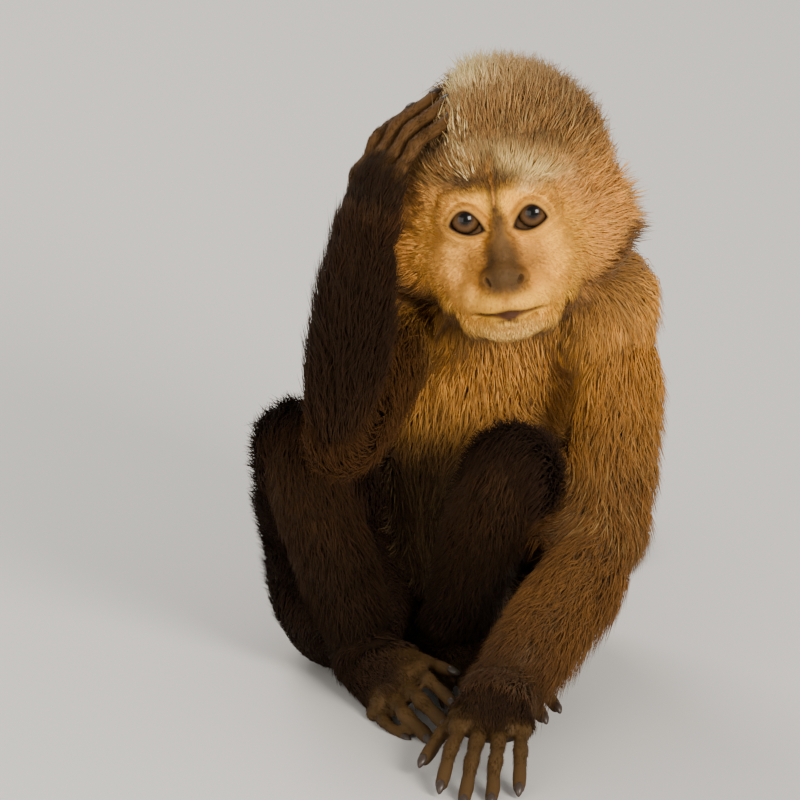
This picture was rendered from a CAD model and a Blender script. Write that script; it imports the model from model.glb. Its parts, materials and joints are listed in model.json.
"""A capuchin monkey that crouches on a pale studio floor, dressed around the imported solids.

One skin replaces every flesh node, the eyes and claws stay separate, and the coat is solid locks of hair
laid over the skin. The sizes that classes hold are millimetres, which MM turns into metres, except in
Ring, Digit, Lamp and Studio, which hold metres. Places on the head are its own millimetres, see HeadAxes.
"""

from __future__ import annotations

import json
import logging
import math
import time
from dataclasses import dataclass, field
from enum import Enum

import bmesh
import bpy
import numpy as np
from mathutils import Matrix, Vector
from mathutils.bvhtree import BVHTree
from mathutils.kdtree import KDTree

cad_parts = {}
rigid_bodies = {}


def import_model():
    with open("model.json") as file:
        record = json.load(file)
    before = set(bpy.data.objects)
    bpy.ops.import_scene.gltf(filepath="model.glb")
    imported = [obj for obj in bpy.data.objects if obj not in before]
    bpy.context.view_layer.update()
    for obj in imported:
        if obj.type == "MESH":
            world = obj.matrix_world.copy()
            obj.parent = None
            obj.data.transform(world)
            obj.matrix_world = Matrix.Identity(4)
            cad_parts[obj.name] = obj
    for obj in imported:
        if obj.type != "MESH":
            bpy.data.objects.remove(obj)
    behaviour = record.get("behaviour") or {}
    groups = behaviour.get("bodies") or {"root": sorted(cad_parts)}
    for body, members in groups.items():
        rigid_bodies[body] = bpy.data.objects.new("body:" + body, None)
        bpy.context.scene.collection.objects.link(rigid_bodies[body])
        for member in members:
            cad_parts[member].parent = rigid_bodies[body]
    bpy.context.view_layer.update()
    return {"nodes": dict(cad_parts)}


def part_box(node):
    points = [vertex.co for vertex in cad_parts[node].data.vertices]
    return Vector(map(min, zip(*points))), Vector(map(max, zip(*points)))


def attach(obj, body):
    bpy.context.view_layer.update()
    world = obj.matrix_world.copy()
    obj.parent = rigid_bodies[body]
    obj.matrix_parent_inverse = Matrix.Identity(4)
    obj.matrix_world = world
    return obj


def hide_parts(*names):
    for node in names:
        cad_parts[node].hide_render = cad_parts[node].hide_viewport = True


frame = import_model()

log = logging.getLogger("capuchin")
MM = 0.001
FLOOR_GAP = 0.25 * MM  # the lowest that any hair or pad may lie
SEED = 41
HIDDEN_TIP = 5.0 * MM  # how far the raised hand's fingers reach on into the crown's coat


class Region(Enum):
    """The stretches of the body that differ in coat and skin."""

    HEAD = "head"
    EAR = "ear"
    NECK = "neck"
    TRUNK = "trunk"
    UPPER_ARM = "upper_arm"
    FOREARM = "forearm"
    THIGH = "thigh"
    SHIN = "shin"
    HAND = "hand"
    FOOT = "foot"
    TAIL = "tail"


def region_of(node: str) -> Region:
    """The region that a node of the frame belongs to."""
    return next(region for region in Region if node.startswith(region.value))


FLESH = sorted(name for name in frame["nodes"] if not name.startswith("eye"))
EXTREMITIES = ("hand_l", "hand_r", "foot_l", "foot_r")
DIGITS = ("thumb", "index", "middle", "ring", "little")


# ---------------------------------------------------------------- mesh tools
def link(name: str, mesh: bpy.types.Mesh) -> bpy.types.Object:
    """Puts a mesh in the scene as an object at the origin."""
    piece = bpy.data.objects.new(name, mesh)
    bpy.context.scene.collection.objects.link(piece)
    return piece


def object_from(name: str, bm: bmesh.types.BMesh) -> bpy.types.Object:
    """Makes a smooth-shaded object from a bmesh, with its faces pointing out."""
    bmesh.ops.recalc_face_normals(bm, faces=bm.faces)
    mesh = bpy.data.meshes.new(name)
    bm.to_mesh(mesh)
    bm.free()
    mesh.shade_smooth()
    return link(name, mesh)


def bake_modifiers(piece: bpy.types.Object) -> None:
    """Replaces a piece's mesh by its mesh after modifiers."""
    graph = bpy.context.evaluated_depsgraph_get()
    finished = bpy.data.meshes.new_from_object(piece.evaluated_get(graph))
    piece.modifiers.clear()
    old, piece.data = piece.data, finished
    bpy.data.meshes.remove(old)


def melt(piece: bpy.types.Object, voxel: float, smooth_steps: int = 0) -> None:
    """Turns overlapping solids into one skin.

    Args:
        piece: The object whose solids melt together.
        voxel: The size of the new faces, in metres.
        smooth_steps: How often the result is smoothed.
    """
    remesh = piece.modifiers.new("melt", "REMESH")
    remesh.mode = "VOXEL"
    remesh.voxel_size = voxel
    remesh.use_smooth_shade = True
    if smooth_steps:
        smooth = piece.modifiers.new("smooth", "SMOOTH")
        smooth.factor = 0.5
        smooth.iterations = smooth_steps
    bake_modifiers(piece)


def boolean(piece: bpy.types.Object, others: list[bpy.types.Object], operation: str) -> None:
    """Adds or takes away the others, which are then removed."""
    for other in others:
        cut = piece.modifiers.new("boolean", "BOOLEAN")
        cut.operation = operation
        cut.solver = "MANIFOLD"
        cut.object = other
    bake_modifiers(piece)
    for other in others:
        bpy.data.objects.remove(other)


def read_rows(mesh: bpy.types.Mesh, value: str) -> np.ndarray:
    """A value of the mesh's points, one row each."""
    flat = np.empty(len(mesh.vertices) * 3)
    mesh.vertices.foreach_get(value, flat)
    return flat.reshape(-1, 3)


def points_of(mesh: bpy.types.Mesh) -> np.ndarray:
    """The mesh's points, one row each."""
    return read_rows(mesh, "co")


def normals_of(mesh: bpy.types.Mesh) -> np.ndarray:
    """The mesh's point normals, one row each."""
    return read_rows(mesh, "normal")


def set_points(mesh: bpy.types.Mesh, points: np.ndarray) -> None:
    """Moves the mesh's points."""
    mesh.vertices.foreach_set("co", points.ravel())
    mesh.update()


def store_tint(mesh: bpy.types.Mesh, colours: np.ndarray) -> None:
    """Keeps one colour at each of the mesh's points."""
    rgba = np.concatenate([colours, np.ones((len(colours), 1))], axis=1)
    layer = mesh.color_attributes.new("tint", "FLOAT_COLOR", "POINT")
    layer.data.foreach_set("color", rgba.reshape(-1).astype(np.float32))


def unit(rows: np.ndarray) -> np.ndarray:
    """The rows at length one."""
    return rows / np.maximum(np.linalg.norm(rows, axis=-1, keepdims=True), 1e-9)


def ease(value: np.ndarray, start: float, end: float) -> np.ndarray:
    """Rises smoothly from 0 at start to 1 at end."""
    share = np.clip((value - start) / (end - start), 0.0, 1.0)
    return share * share * (3.0 - 2.0 * share)


def bell(distance: np.ndarray, width: float) -> np.ndarray:
    """A soft bump, 1 at no distance and near 0 past twice the width."""
    return np.exp(-((distance / width) ** 2))


def within(mask: np.ndarray, *slopes: tuple) -> np.ndarray:
    """The mask where every slope is up.

    Args:
        mask: One number per point.
        slopes: For each, a value per point, where its slope starts and where it is full.

    Returns:
        The mask times every slope.
    """
    for values, start, end in slopes:
        mask = mask * ease(values, start, end)
    return mask


def spot(across: np.ndarray, up: np.ndarray, centre: tuple, radii: tuple) -> np.ndarray:
    """A soft oval, 1 at its centre."""
    return bell(np.hypot((across - centre[0]) / radii[0], (up - centre[1]) / radii[1]), 1.0)


def blend(rows: np.ndarray, values: tuple | np.ndarray, amount: np.ndarray) -> np.ndarray:
    """Moves rows towards other values where amount is more than 0."""
    share = np.clip(amount, 0.0, 1.0)[:, None]
    return rows * (1.0 - share) + np.array(values) * share


def from_segment(points: np.ndarray, start: np.ndarray, end: np.ndarray) -> tuple[np.ndarray, np.ndarray]:
    """How far points are from a segment, and how far along it they lie.

    Args:
        points: One row each.
        start: The segment's first end.
        end: The segment's other end.

    Returns:
        Distances, and shares from 0 at the start to 1 at the end.
    """
    along = end - start
    share = np.clip((points - start) @ along / (along @ along), 0.0, 1.0)
    return np.linalg.norm(points - start - share[:, None] * along, axis=1), share


class Neighbours:
    """The edges of a mesh, for smoothing values from point to point."""

    def __init__(self, mesh: bpy.types.Mesh) -> None:
        """Reads the mesh's edges."""
        ends = np.empty(len(mesh.edges) * 2, np.int64)
        mesh.edges.foreach_get("vertices", ends)
        self.first, self.second = ends[::2], ends[1::2]
        self.count = len(mesh.vertices)
        both = np.concatenate([self.first, self.second])
        self.degree = np.maximum(np.bincount(both, minlength=self.count), 1)

    def smooth(self, values: np.ndarray, steps: int, factor: float = 0.5) -> np.ndarray:
        """Blends each point's value with its neighbours' mean.

        Args:
            values: One number or one row per point.
            steps: How often.
            factor: The share of the neighbours' mean.

        Returns:
            The smoothed values.
        """
        rows = values.reshape(self.count, -1).astype(float)
        for _ in range(steps):
            for column in range(rows.shape[1]):
                old = rows[:, column]
                total = np.bincount(self.first, old[self.second], self.count)
                total += np.bincount(self.second, old[self.first], self.count)
                rows[:, column] = old * (1 - factor) + factor * total / self.degree
        return rows.reshape(values.shape)


# ---------------------------------------------------------------- places, read from the frame
def node_cut(node: str, point: Vector, normal: Vector) -> list[Vector]:
    """The points where a plane crosses a node's solid."""
    bm = bmesh.new()
    bm.from_mesh(frame["nodes"][node].data)
    everything = bm.verts[:] + bm.edges[:] + bm.faces[:]
    cut = bmesh.ops.bisect_plane(bm, geom=everything, plane_co=point, plane_no=normal)
    found = [item.co.copy() for item in cut["geom_cut"] if isinstance(item, bmesh.types.BMVert)]
    bm.free()
    return found


def seam(node: str, other: str, reach: float = 1.2 * MM, top: float = 1.0) -> Vector:
    """The middle of the place where two nodes meet.

    Args:
        node: The node whose points are taken.
        other: The node that they lie near.
        reach: How near they lie, in metres.
        top: How far under the highest such point the others may lie, in metres.

    Returns:
        The middle of those points.
    """
    tree = BVHTree.FromObject(frame["nodes"][other], bpy.context.evaluated_depsgraph_get())
    near = [
        vert.co.copy()
        for vert in frame["nodes"][node].data.vertices
        if tree.find_nearest(vert.co, reach)[0] is not None
    ]
    highest = max(point.z for point in near)
    near = [point for point in near if point.z > highest - top]
    return sum(near, Vector()) / len(near)


def centre_line(node: str, start: Vector, end: Vector, count: int) -> list[tuple[Vector, float]]:
    """Middles and radii of a long node's cross-sections.

    Args:
        node: The node's name.
        start: The end that the line starts from.
        end: The far end.
        count: How many sections.

    Returns:
        One point and one mean radius for each section that the solid fills.
    """
    ahead = (end - start).normalized()
    line = []
    for step in range(count):
        share = (step + 0.5) / count
        ring = node_cut(node, start.lerp(end, share), ahead)
        if len(ring) < 3:
            continue
        middle = sum(ring, Vector()) / len(ring)
        line.append((middle, sum((point - middle).length for point in ring) / len(ring)))
    return line


def far_end(node: str, start: Vector) -> Vector:
    """The node's point that lies farthest from the start."""
    points = (vert.co for vert in frame["nodes"][node].data.vertices)
    return max(points, key=lambda co: (co - start).length).copy()


@dataclass
class HeadAxes:
    """The head's own millimetre frame: X to its left, -Y the way it faces, Z up, from between the eyes."""

    eye_raise: float = 1.9  # of the eyes' middles over the origin, mm
    ear_back: float = 40.0  # of the ears behind the eyes, mm
    ear_drop: float = 6.0  # of the ears under the origin, mm

    def __post_init__(self) -> None:
        """Finds the axes from the eyes and ears of the frame."""
        middle = {name: self.node_middle(name) for name in ("eye_l", "eye_r", "ear_l", "ear_r")}
        across = (middle["eye_l"] - middle["eye_r"]).normalized()
        between = (middle["eye_l"] + middle["eye_r"]) / 2
        back = (middle["ear_l"] + middle["ear_r"]) / 2 - between
        back = (back - across * back.dot(across)).normalized()
        up = across.cross(back)
        tilt = math.atan2(-self.ear_drop - self.eye_raise, self.ear_back)
        true_back = back * math.cos(tilt) - up * math.sin(tilt)
        true_up = back * math.sin(tilt) + up * math.cos(tilt)
        self.turn = Matrix((across, true_back, true_up)).transposed()
        self.origin = between - true_up * self.eye_raise * MM

    @staticmethod
    def node_middle(node: str) -> Vector:
        """The middle of a node's box."""
        low, high = (Vector(corner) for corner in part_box(node))
        return (low + high) / 2

    def place(self, x: float, y: float, z: float) -> Vector:
        """A point of the world from the head's millimetres."""
        return self.origin + self.turn @ Vector((x, y, z)) * MM

    def matrix(self, x: float, y: float, z: float) -> Matrix:
        """The head's axes moved to a point of the head."""
        return Matrix.Translation(self.place(x, y, z)) @ self.turn.to_4x4()

    def local(self, points: np.ndarray) -> np.ndarray:
        """World points in the head's millimetres."""
        return (points - np.array(self.origin)) @ np.array(self.turn) / MM

    def direction(self, rows: np.ndarray) -> np.ndarray:
        """Directions of the head as directions of the world."""
        return rows @ np.array(self.turn).T


@dataclass
class Digit:
    """A finger or toe: its middle line from the palm to the tip, and its radius in metres."""

    name: str
    line: list[Vector]
    radius: float
    up: Vector


@dataclass
class Extremity:
    """A hand or foot: where it joins the limb, which way it points, and its digits."""

    name: str
    heel: Vector
    front: Vector
    ahead: Vector
    up: Vector
    side: Vector
    digits: list[Digit] = field(default_factory=list)


class Anatomy:
    """The joints, bones and digits, all measured on the frame's nodes."""

    def __init__(self) -> None:
        """Measures the nodes."""
        self.head = HeadAxes()
        self.bones: dict[str, list[Vector]] = {}
        for side in ("l", "r"):
            shoulder = seam(f"upper_arm_{side}", "trunk", 4 * MM)
            elbow = seam(f"upper_arm_{side}", f"forearm_{side}")
            wrist = seam(f"forearm_{side}", f"hand_{side}_palm")
            hip = seam(f"thigh_{side}", "trunk", 2 * MM)
            knee = seam(f"thigh_{side}", f"shin_{side}", top=32 * MM)
            ankle = seam(f"shin_{side}", f"foot_{side}_palm", 2 * MM, 30 * MM)
            self.bones[f"upper_arm_{side}"] = [shoulder, elbow]
            self.bones[f"forearm_{side}"] = [elbow, wrist]
            self.bones[f"thigh_{side}"] = [hip, knee]
            self.bones[f"shin_{side}"] = [knee, ankle]
        self.extremities = {name: self.read_extremity(name) for name in EXTREMITIES}
        self.bones["tail"] = self.read_tail()
        self.floor = Vector(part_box("trunk")[0]).z

    def read_extremity(self, name: str) -> Extremity:
        """Measures a hand or foot.

        Args:
            name: Such as hand_l.

        Returns:
            Its places and directions.
        """
        kind, side = name.split("_")
        palm = f"{name}_palm"
        limb = f"{'forearm' if kind == 'hand' else 'shin'}_{side}"
        roots = {finger: seam(f"{name}_{finger}", palm, 1.0 * MM) for finger in DIGITS}
        front = sum((roots[finger] for finger in DIGITS[1:]), Vector()) / 4
        row = (roots["index"] - roots["little"]).normalized()
        middle = HeadAxes.node_middle(palm)
        joint = self.bones[limb][1]
        heel = joint if kind == "hand" else middle + (middle - front) * 0.95
        ahead = (front - heel).normalized()
        side_way = (row - ahead * row.dot(ahead)).normalized()
        up = side_way.cross(ahead) * (1 if side == "l" else -1)
        part = Extremity(name, heel, front, ahead, up, side_way)
        for finger in DIGITS:
            node = f"{name}_{finger}"
            tip = far_end(node, roots[finger])
            line = centre_line(node, roots[finger], tip, 7)
            radius = sorted(size for _, size in line)[len(line) // 2]
            root = roots[finger]
            inside = root - (line[0][0] - root).normalized() * 5 * MM - ahead * 4 * MM
            reach_in = HIDDEN_TIP if name == "hand_r" and finger != "thumb" else -0.6 * radius
            end = tip + (tip - line[-1][0]).normalized() * reach_in
            part.digits.append(Digit(finger, [inside, *[point for point, _ in line], end], radius, up))
        return part

    @staticmethod
    def read_tail() -> list[Vector]:
        """The tail's middle line, from the rump to the tip."""
        start = seam("tail_1", "trunk", 2 * MM)
        line = [start]
        names = [f"tail_{part}" for part in (1, 2, 3, 4)]
        for name, after in zip(names, names[1:] + [None]):
            end = seam(name, after) if after else far_end(name, line[-1])
            chord = (end - start).normalized()
            for share in (0.25, 0.5, 0.75):
                ring = node_cut(name, start.lerp(end, share), chord)
                line.append(sum(ring, Vector()) / len(ring))
            line.append(end)
            start = end
        return line


# ---------------------------------------------------------------- solids that melt into the skin
def curve_points(points: list[Vector], steps: int) -> list[Vector]:
    """Points on a smooth line through the given ones."""
    line, last = [], len(points) - 1
    for i in range(last):
        before, after = points[max(i - 1, 0)], points[min(i + 2, last)]
        here, there = points[i], points[i + 1]
        for step in range(steps):
            t = step / steps
            pull = (there - before) * (t**3 - 2 * t**2 + t) / 2 + (after - here) * (t**3 - t**2) / 2
            line.append(here * (2 * t**3 - 3 * t**2 + 1) + there * (3 * t**2 - 2 * t**3) + pull)
    line.append(points[last].copy())
    return line


@dataclass
class Ring:
    """One cross-section of a loft: its middle and its two radii in metres."""

    middle: Vector
    across: float
    deep: float


def add_loft(bm: bmesh.types.BMesh, rings: list[Ring], flat: Vector, sides: int = 16) -> None:
    """Adds a closed tube through the rings, rounded at both ends.

    Args:
        bm: The bmesh to add to.
        rings: The cross-sections in order.
        flat: The direction that the deep radius lies along.
        sides: How many sides a cross-section has.
    """
    last = len(rings) - 1
    ahead = [
        (rings[min(i + 1, last)].middle - rings[max(i - 1, 0)].middle).normalized() for i in range(last + 1)
    ]
    places = []
    for ring, way in zip(rings, ahead):
        up = (flat - way * flat.dot(way)).normalized()
        turn = Matrix((up.cross(way), up, way)).transposed().to_4x4()
        size = Matrix.Diagonal((ring.across, ring.deep, 1.0, 1.0))
        places.append(Matrix.Translation(ring.middle) @ turn @ size)
    for end, way, ring in ((0, -ahead[0], rings[0]), (-1, ahead[last], rings[last])):
        caps = []
        for angle in (math.radians(30), math.radians(58), math.radians(80)):
            push = Matrix.Translation(way * min(ring.across, ring.deep) * math.sin(angle))
            shrink = Matrix.Diagonal((math.cos(angle), math.cos(angle), 1.0, 1.0))
            caps.append(push @ places[end] @ shrink)
        places = caps[::-1] + places if end == 0 else places + caps
    made = bmesh.ops.create_circle(bm, segments=sides, radius=1.0, cap_ends=True, matrix=places[0])
    edges = list({edge for vert in made["verts"] for edge in vert.link_edges})
    for earlier, later in zip(places, places[1:]):
        grown = bmesh.ops.extrude_edge_only(bm, edges=edges)["geom"]
        ring_verts = [item for item in grown if isinstance(item, bmesh.types.BMVert)]
        held = set(ring_verts)
        edges = [
            item for item in grown if isinstance(item, bmesh.types.BMEdge) and held.issuperset(item.verts)
        ]
        bmesh.ops.transform(bm, matrix=later @ earlier.inverted(), verts=ring_verts)
    bmesh.ops.contextual_create(bm, geom=edges)


def turned(degrees: float, axis: str) -> Matrix:
    """A turn about an axis."""
    return Matrix.Rotation(math.radians(degrees), 4, axis)


def add_ball(bm: bmesh.types.BMesh, place: Matrix, radii: tuple, detail: int = 4) -> None:
    """Adds a ball with three radii in millimetres."""
    size = Matrix.Diagonal((radii[0] * MM, radii[1] * MM, radii[2] * MM, 1.0))
    bmesh.ops.create_icosphere(bm, subdivisions=detail, radius=1.0, matrix=place @ size)


@dataclass(frozen=True)
class EyeOpening:
    """The almond between the lids, from the middle of the eye, outward and up."""

    inner: tuple[float, float] = (-7.2, -3.6)
    outer: tuple[float, float] = (5.7, -0.6)
    upper_rise: float = 6.8
    lower_drop: float = 2.3
    fullness: float = 0.72

    def outline(self, count: int = 28, grow: float = 1.0) -> list[tuple[float, float]]:
        """Points round the opening, from the inner corner over the top.

        Args:
            count: How many points each lid has.
            grow: How much wider than life the outline is.

        Returns:
            Outward and up, in millimetres.
        """
        points = []
        for i in range(2 * count):
            lower = i >= count
            share = (i - count) / count if lower else i / count
            share = 1 - share if lower else share
            bow = math.sin(math.pi * share) ** self.fullness
            x = self.inner[0] + (self.outer[0] - self.inner[0]) * share
            z = self.inner[1] + (self.outer[1] - self.inner[1]) * share
            z += bow * (-self.lower_drop if lower else self.upper_rise)
            points.append((x * grow, z * grow + (grow - 1) * 0.6))
        return points

    def distance(self, x: np.ndarray, z: np.ndarray) -> np.ndarray:
        """How far places are from the lids' edge, less than 0 inside the opening.

        Args:
            x: Outward, in millimetres from the eye's middle.
            z: Up, in millimetres from the eye's middle.

        Returns:
            Millimetres.
        """
        ring = np.array(self.outline(40))
        after = np.roll(ring, -1, axis=0)
        best = np.full(len(x), 1e9)
        inside = np.zeros(len(x), bool)
        for (ax, az), (bx, bz) in zip(ring, after):
            length = max((bx - ax) ** 2 + (bz - az) ** 2, 1e-9)
            share = np.clip(((x - ax) * (bx - ax) + (z - az) * (bz - az)) / length, 0, 1)
            best = np.minimum(best, np.hypot(x - ax - share * (bx - ax), z - az - share * (bz - az)))
            crosses = (az > z) != (bz > z)
            inside ^= crosses & (x < (bx - ax) * (z - az) / (bz - az if bz != az else 1e-9) + ax)
        return np.where(inside, -best, best)


@dataclass
class HeadSkin:
    """The head's skin: balls melted together, then worked like clay. All sizes are the head's millimetres."""

    axes: HeadAxes
    opening: EyeOpening
    eye_radius: float = 9.3
    eye_apart: float = 12.9
    voxel: float = 1.4
    balls: tuple = (
        ("skull", (0.5, 31, 9), (35, 33.5, 37)),
        ("forehead", (0, 9.5, 18), (26, 14.5, 17)),
        ("temple", (20, 15, 6), (13, 15, 15)),
        ("brow", (10.5, -0.5, 10.5), (11.5, 8, 5.5)),
        ("glabella", (0, -1.5, 8), (8, 7.5, 8)),
        ("lid", (12.9, 0.2, 1.9), (10.7, 10.7, 10.7)),
        ("bridge", (0, -5.2, -8), (5.8, 8.4, 14)),
        ("nose", (0, -12.0, -18.7), (6.0, 6.3, 5.9)),
        ("nose_wing", (6.4, -11.2, -20.2), (3.9, 4.8, 3.8)),
        ("mid_face", (0, 4, -14), (18, 13.0, 16)),
        ("cheekbone", (14, 5, -10), (11, 9.5, 10)),
        ("cheek", (17, 15, -15), (13, 17, 17)),
        ("cheek_back", (28, 26, -11), (13.5, 16, 18)),
        ("muzzle", (0, -4.5, -29), (14.0, 14, 9)),
        ("muzzle_side", (10, 0, -28), (8.5, 11.5, 9)),
        ("upper_lip", (0, -9.8, -28.6), (10.5, 9.6, 5.2)),
        ("lower_lip", (0, -8.0, -36.2), (9.0, 8.4, 4.2)),
        ("chin", (0, -2.5, -39.0), (12, 11.5, 7.0)),
        ("chin_side", (9, 3, -36.5), (8, 11, 8.0)),
        ("jaw", (14, 13, -29), (10, 18, 11)),
        ("throat", (0, 20, -28), (20, 22, 16)),
        ("ear_root", (35, 37, -6), (7, 5, 9)),
    )

    def build(self) -> bpy.types.Object:
        """Makes the head's skin, with openings for the eyes, the nostrils and the line of the mouth."""
        bm = bmesh.new()
        for _, centre, radii in self.balls:
            for side in (1, -1) if centre[0] else (1,):
                add_ball(bm, self.axes.matrix(centre[0] * side, *centre[1:]), radii)
        for side in (1, -1):
            self.add_ear(bm, side)
        head = object_from("head_skin", bm)
        melt(head, self.voxel * MM, 4)
        self.refine_face(head)
        self.work_clay(head)
        self.open_eyes(head)
        return head

    def add_ear(self, bm: bmesh.types.BMesh, side: int) -> None:
        """Adds an ear: a thin leaf with a rolled rim, a little inside the ear's solid."""
        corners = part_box("ear_l" if side > 0 else "ear_r")
        low, high = (self.axes.local(np.array([corner]))[0] for corner in corners)
        middle = (low + high) / 2
        place = self.axes.matrix(middle[0] - 3.0 * side, middle[1] + 1.0, middle[2])
        place = place @ (turned(-28.0 * side, "Z") @ turned(8.0 * side, "Y"))
        rim = [
            Vector((side * 7.6 * math.cos(angle), 1.2 * math.sin(2 * angle), 10.5 * math.sin(angle))) * MM
            for angle in (math.radians(-118 + 18 * i) for i in range(14))
        ]
        rings = [Ring(place @ point, 1.5 * MM, 1.5 * MM) for point in rim]
        add_loft(bm, rings, self.axes.turn.col[1], sides=10)
        add_ball(bm, place @ Matrix.Translation((0.4 * side * MM, 2.0 * MM, 0)), (7.5, 1.7, 10.4))
        add_ball(bm, place @ Matrix.Translation((-6.0 * side * MM, 0, -3.0 * MM)), (5.0, 3.4, 7.0))

    def refine_face(self, head: bpy.types.Object) -> None:
        """Makes the faces between brow and chin a third of the size."""
        bm = bmesh.new()
        bm.from_mesh(head.data)
        turn, origin = self.axes.turn.transposed(), self.axes.origin
        fine = []
        for edge in bm.edges:
            middle = turn @ ((edge.verts[0].co + edge.verts[1].co) / 2 - origin) / MM
            if middle.y < 4 and abs(middle.x) < 27 and -42 < middle.z < 16:
                fine.append(edge)
        bmesh.ops.subdivide_edges(bm, edges=fine, cuts=2, use_grid_fill=True)
        bmesh.ops.triangulate(bm, faces=[face for face in bm.faces if len(face.verts) > 4])
        bm.to_mesh(head.data)
        bm.free()
        head.data.update()

    def work_clay(self, head: bpy.types.Object) -> None:
        """Moves the skin's points for the lids, nose, lips and folds."""
        web = Neighbours(head.data)
        world = points_of(head.data)
        local = web.smooth(self.axes.local(world), 7)
        set_points(head.data, self.to_world(local))
        normals = normals_of(head.data) @ np.array(self.axes.turn)
        x, y, z = local.T
        out = np.abs(x)
        front = ease(-y, -2.0, 6.0)
        lid = self.opening.distance(out - self.eye_apart, z - self.axes.eye_raise)
        push = np.zeros(len(x))
        upper = ease(z - self.axes.eye_raise, -1.5, 2.5)
        push -= 0.8 * bell(lid - 2.7, 0.7) * upper * front  # the fold over the upper lid
        push -= 0.3 * bell(lid - 2.4, 0.8) * (1 - upper) * front  # the fold under the lower lid
        push += 0.4 * bell(lid - 0.7, 0.7) * front  # the lids' thick edge
        tear = np.hypot(out - 5.2, z + 2.6)
        push -= 1.0 * bell(tear, 1.5) * front  # the inner corner's hollow
        mouth = self.from_mouth(x, z)
        muzzle = ease(-y, 4.0, 9.0) * ease(16.5 - out, 0.0, 4.0)
        push -= 1.5 * bell(mouth, 0.62) * muzzle
        push += 0.35 * bell(mouth - 1.7, 1.0) * muzzle * ease(11.0 - out, 0.0, 5.0)
        push += 0.45 * bell(mouth + 1.9, 1.1) * muzzle * ease(9.0 - out, 0.0, 5.0)
        push -= 0.5 * bell(x, 1.0) * bell(z + 26.0, 2.2) * front  # the groove under the nose
        push -= 0.8 * bell(np.hypot(out - 9.8, (z + 22.4) * 0.8), 2.6) * front  # behind the nose's wings
        push -= 0.25 * bell(z + 40.0, 1.5) * ease(13.0 - out, 0.0, 5.0) * ease(-y, 2.0, 8.0)
        push += 0.4 * bell(np.hypot(x, z + 19.8), 3.2) * front
        push -= 0.45 * bell(x, 1.1) * bell(z + 21.0, 2.2) * ease(-y, 16.5, 19.0)  # the nose tip's dimple
        local += normals * push[:, None]
        set_points(head.data, self.to_world(local))

    def from_mouth(self, x: np.ndarray, z: np.ndarray) -> np.ndarray:
        """How far over the line between the lips a place is, in millimetres."""
        line = -33.0 - 0.9 * (np.abs(x - 2.0) / 15.0) ** 1.8 + 0.5 * bell(x - 1.0, 2.5)
        return z - line

    def to_world(self, local: np.ndarray) -> np.ndarray:
        """The head's millimetres as world points."""
        return self.axes.direction(local * MM) + np.array(self.axes.origin)

    def open_eyes(self, head: bpy.types.Object) -> None:
        """Cuts the sockets, the almonds between the lids, and the nostrils."""
        cutters = []
        for side in (1, -1):
            place = self.axes.matrix(side * self.eye_apart, 0, self.axes.eye_raise)
            bm = bmesh.new()
            radius = self.eye_radius + 0.2
            add_ball(bm, place, (radius, radius, radius), detail=5)
            cutters.append(object_from("socket", bm))
            bm = bmesh.new()
            edges = []
            for depth, grow in ((-1.0, 0.90), (-18.0, 1.10)):
                outline = [Vector((x * side, depth, z)) * MM for x, z in self.opening.outline(30, grow)]
                ring = [bm.verts.new(place @ point) for point in outline]
                edges.append([bm.edges.new((ring[i - 1], ring[i])) for i in range(len(ring))])
            bmesh.ops.bridge_loops(bm, edges=edges[0] + edges[1])
            for ring in edges:
                bmesh.ops.contextual_create(bm, geom=ring)
            cutters.append(object_from("lid_cut", bm))
            bm = bmesh.new()
            lean = turned(24.0 * side, "Y") @ turned(34.0 * side, "Z")
            add_ball(bm, self.axes.matrix(side * 7.1, -16.4, -20.6) @ lean, (1.45, 3.4, 2.6))
            cutters.append(object_from("nostril_cut", bm))
        boolean(head, cutters, "DIFFERENCE")


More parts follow.
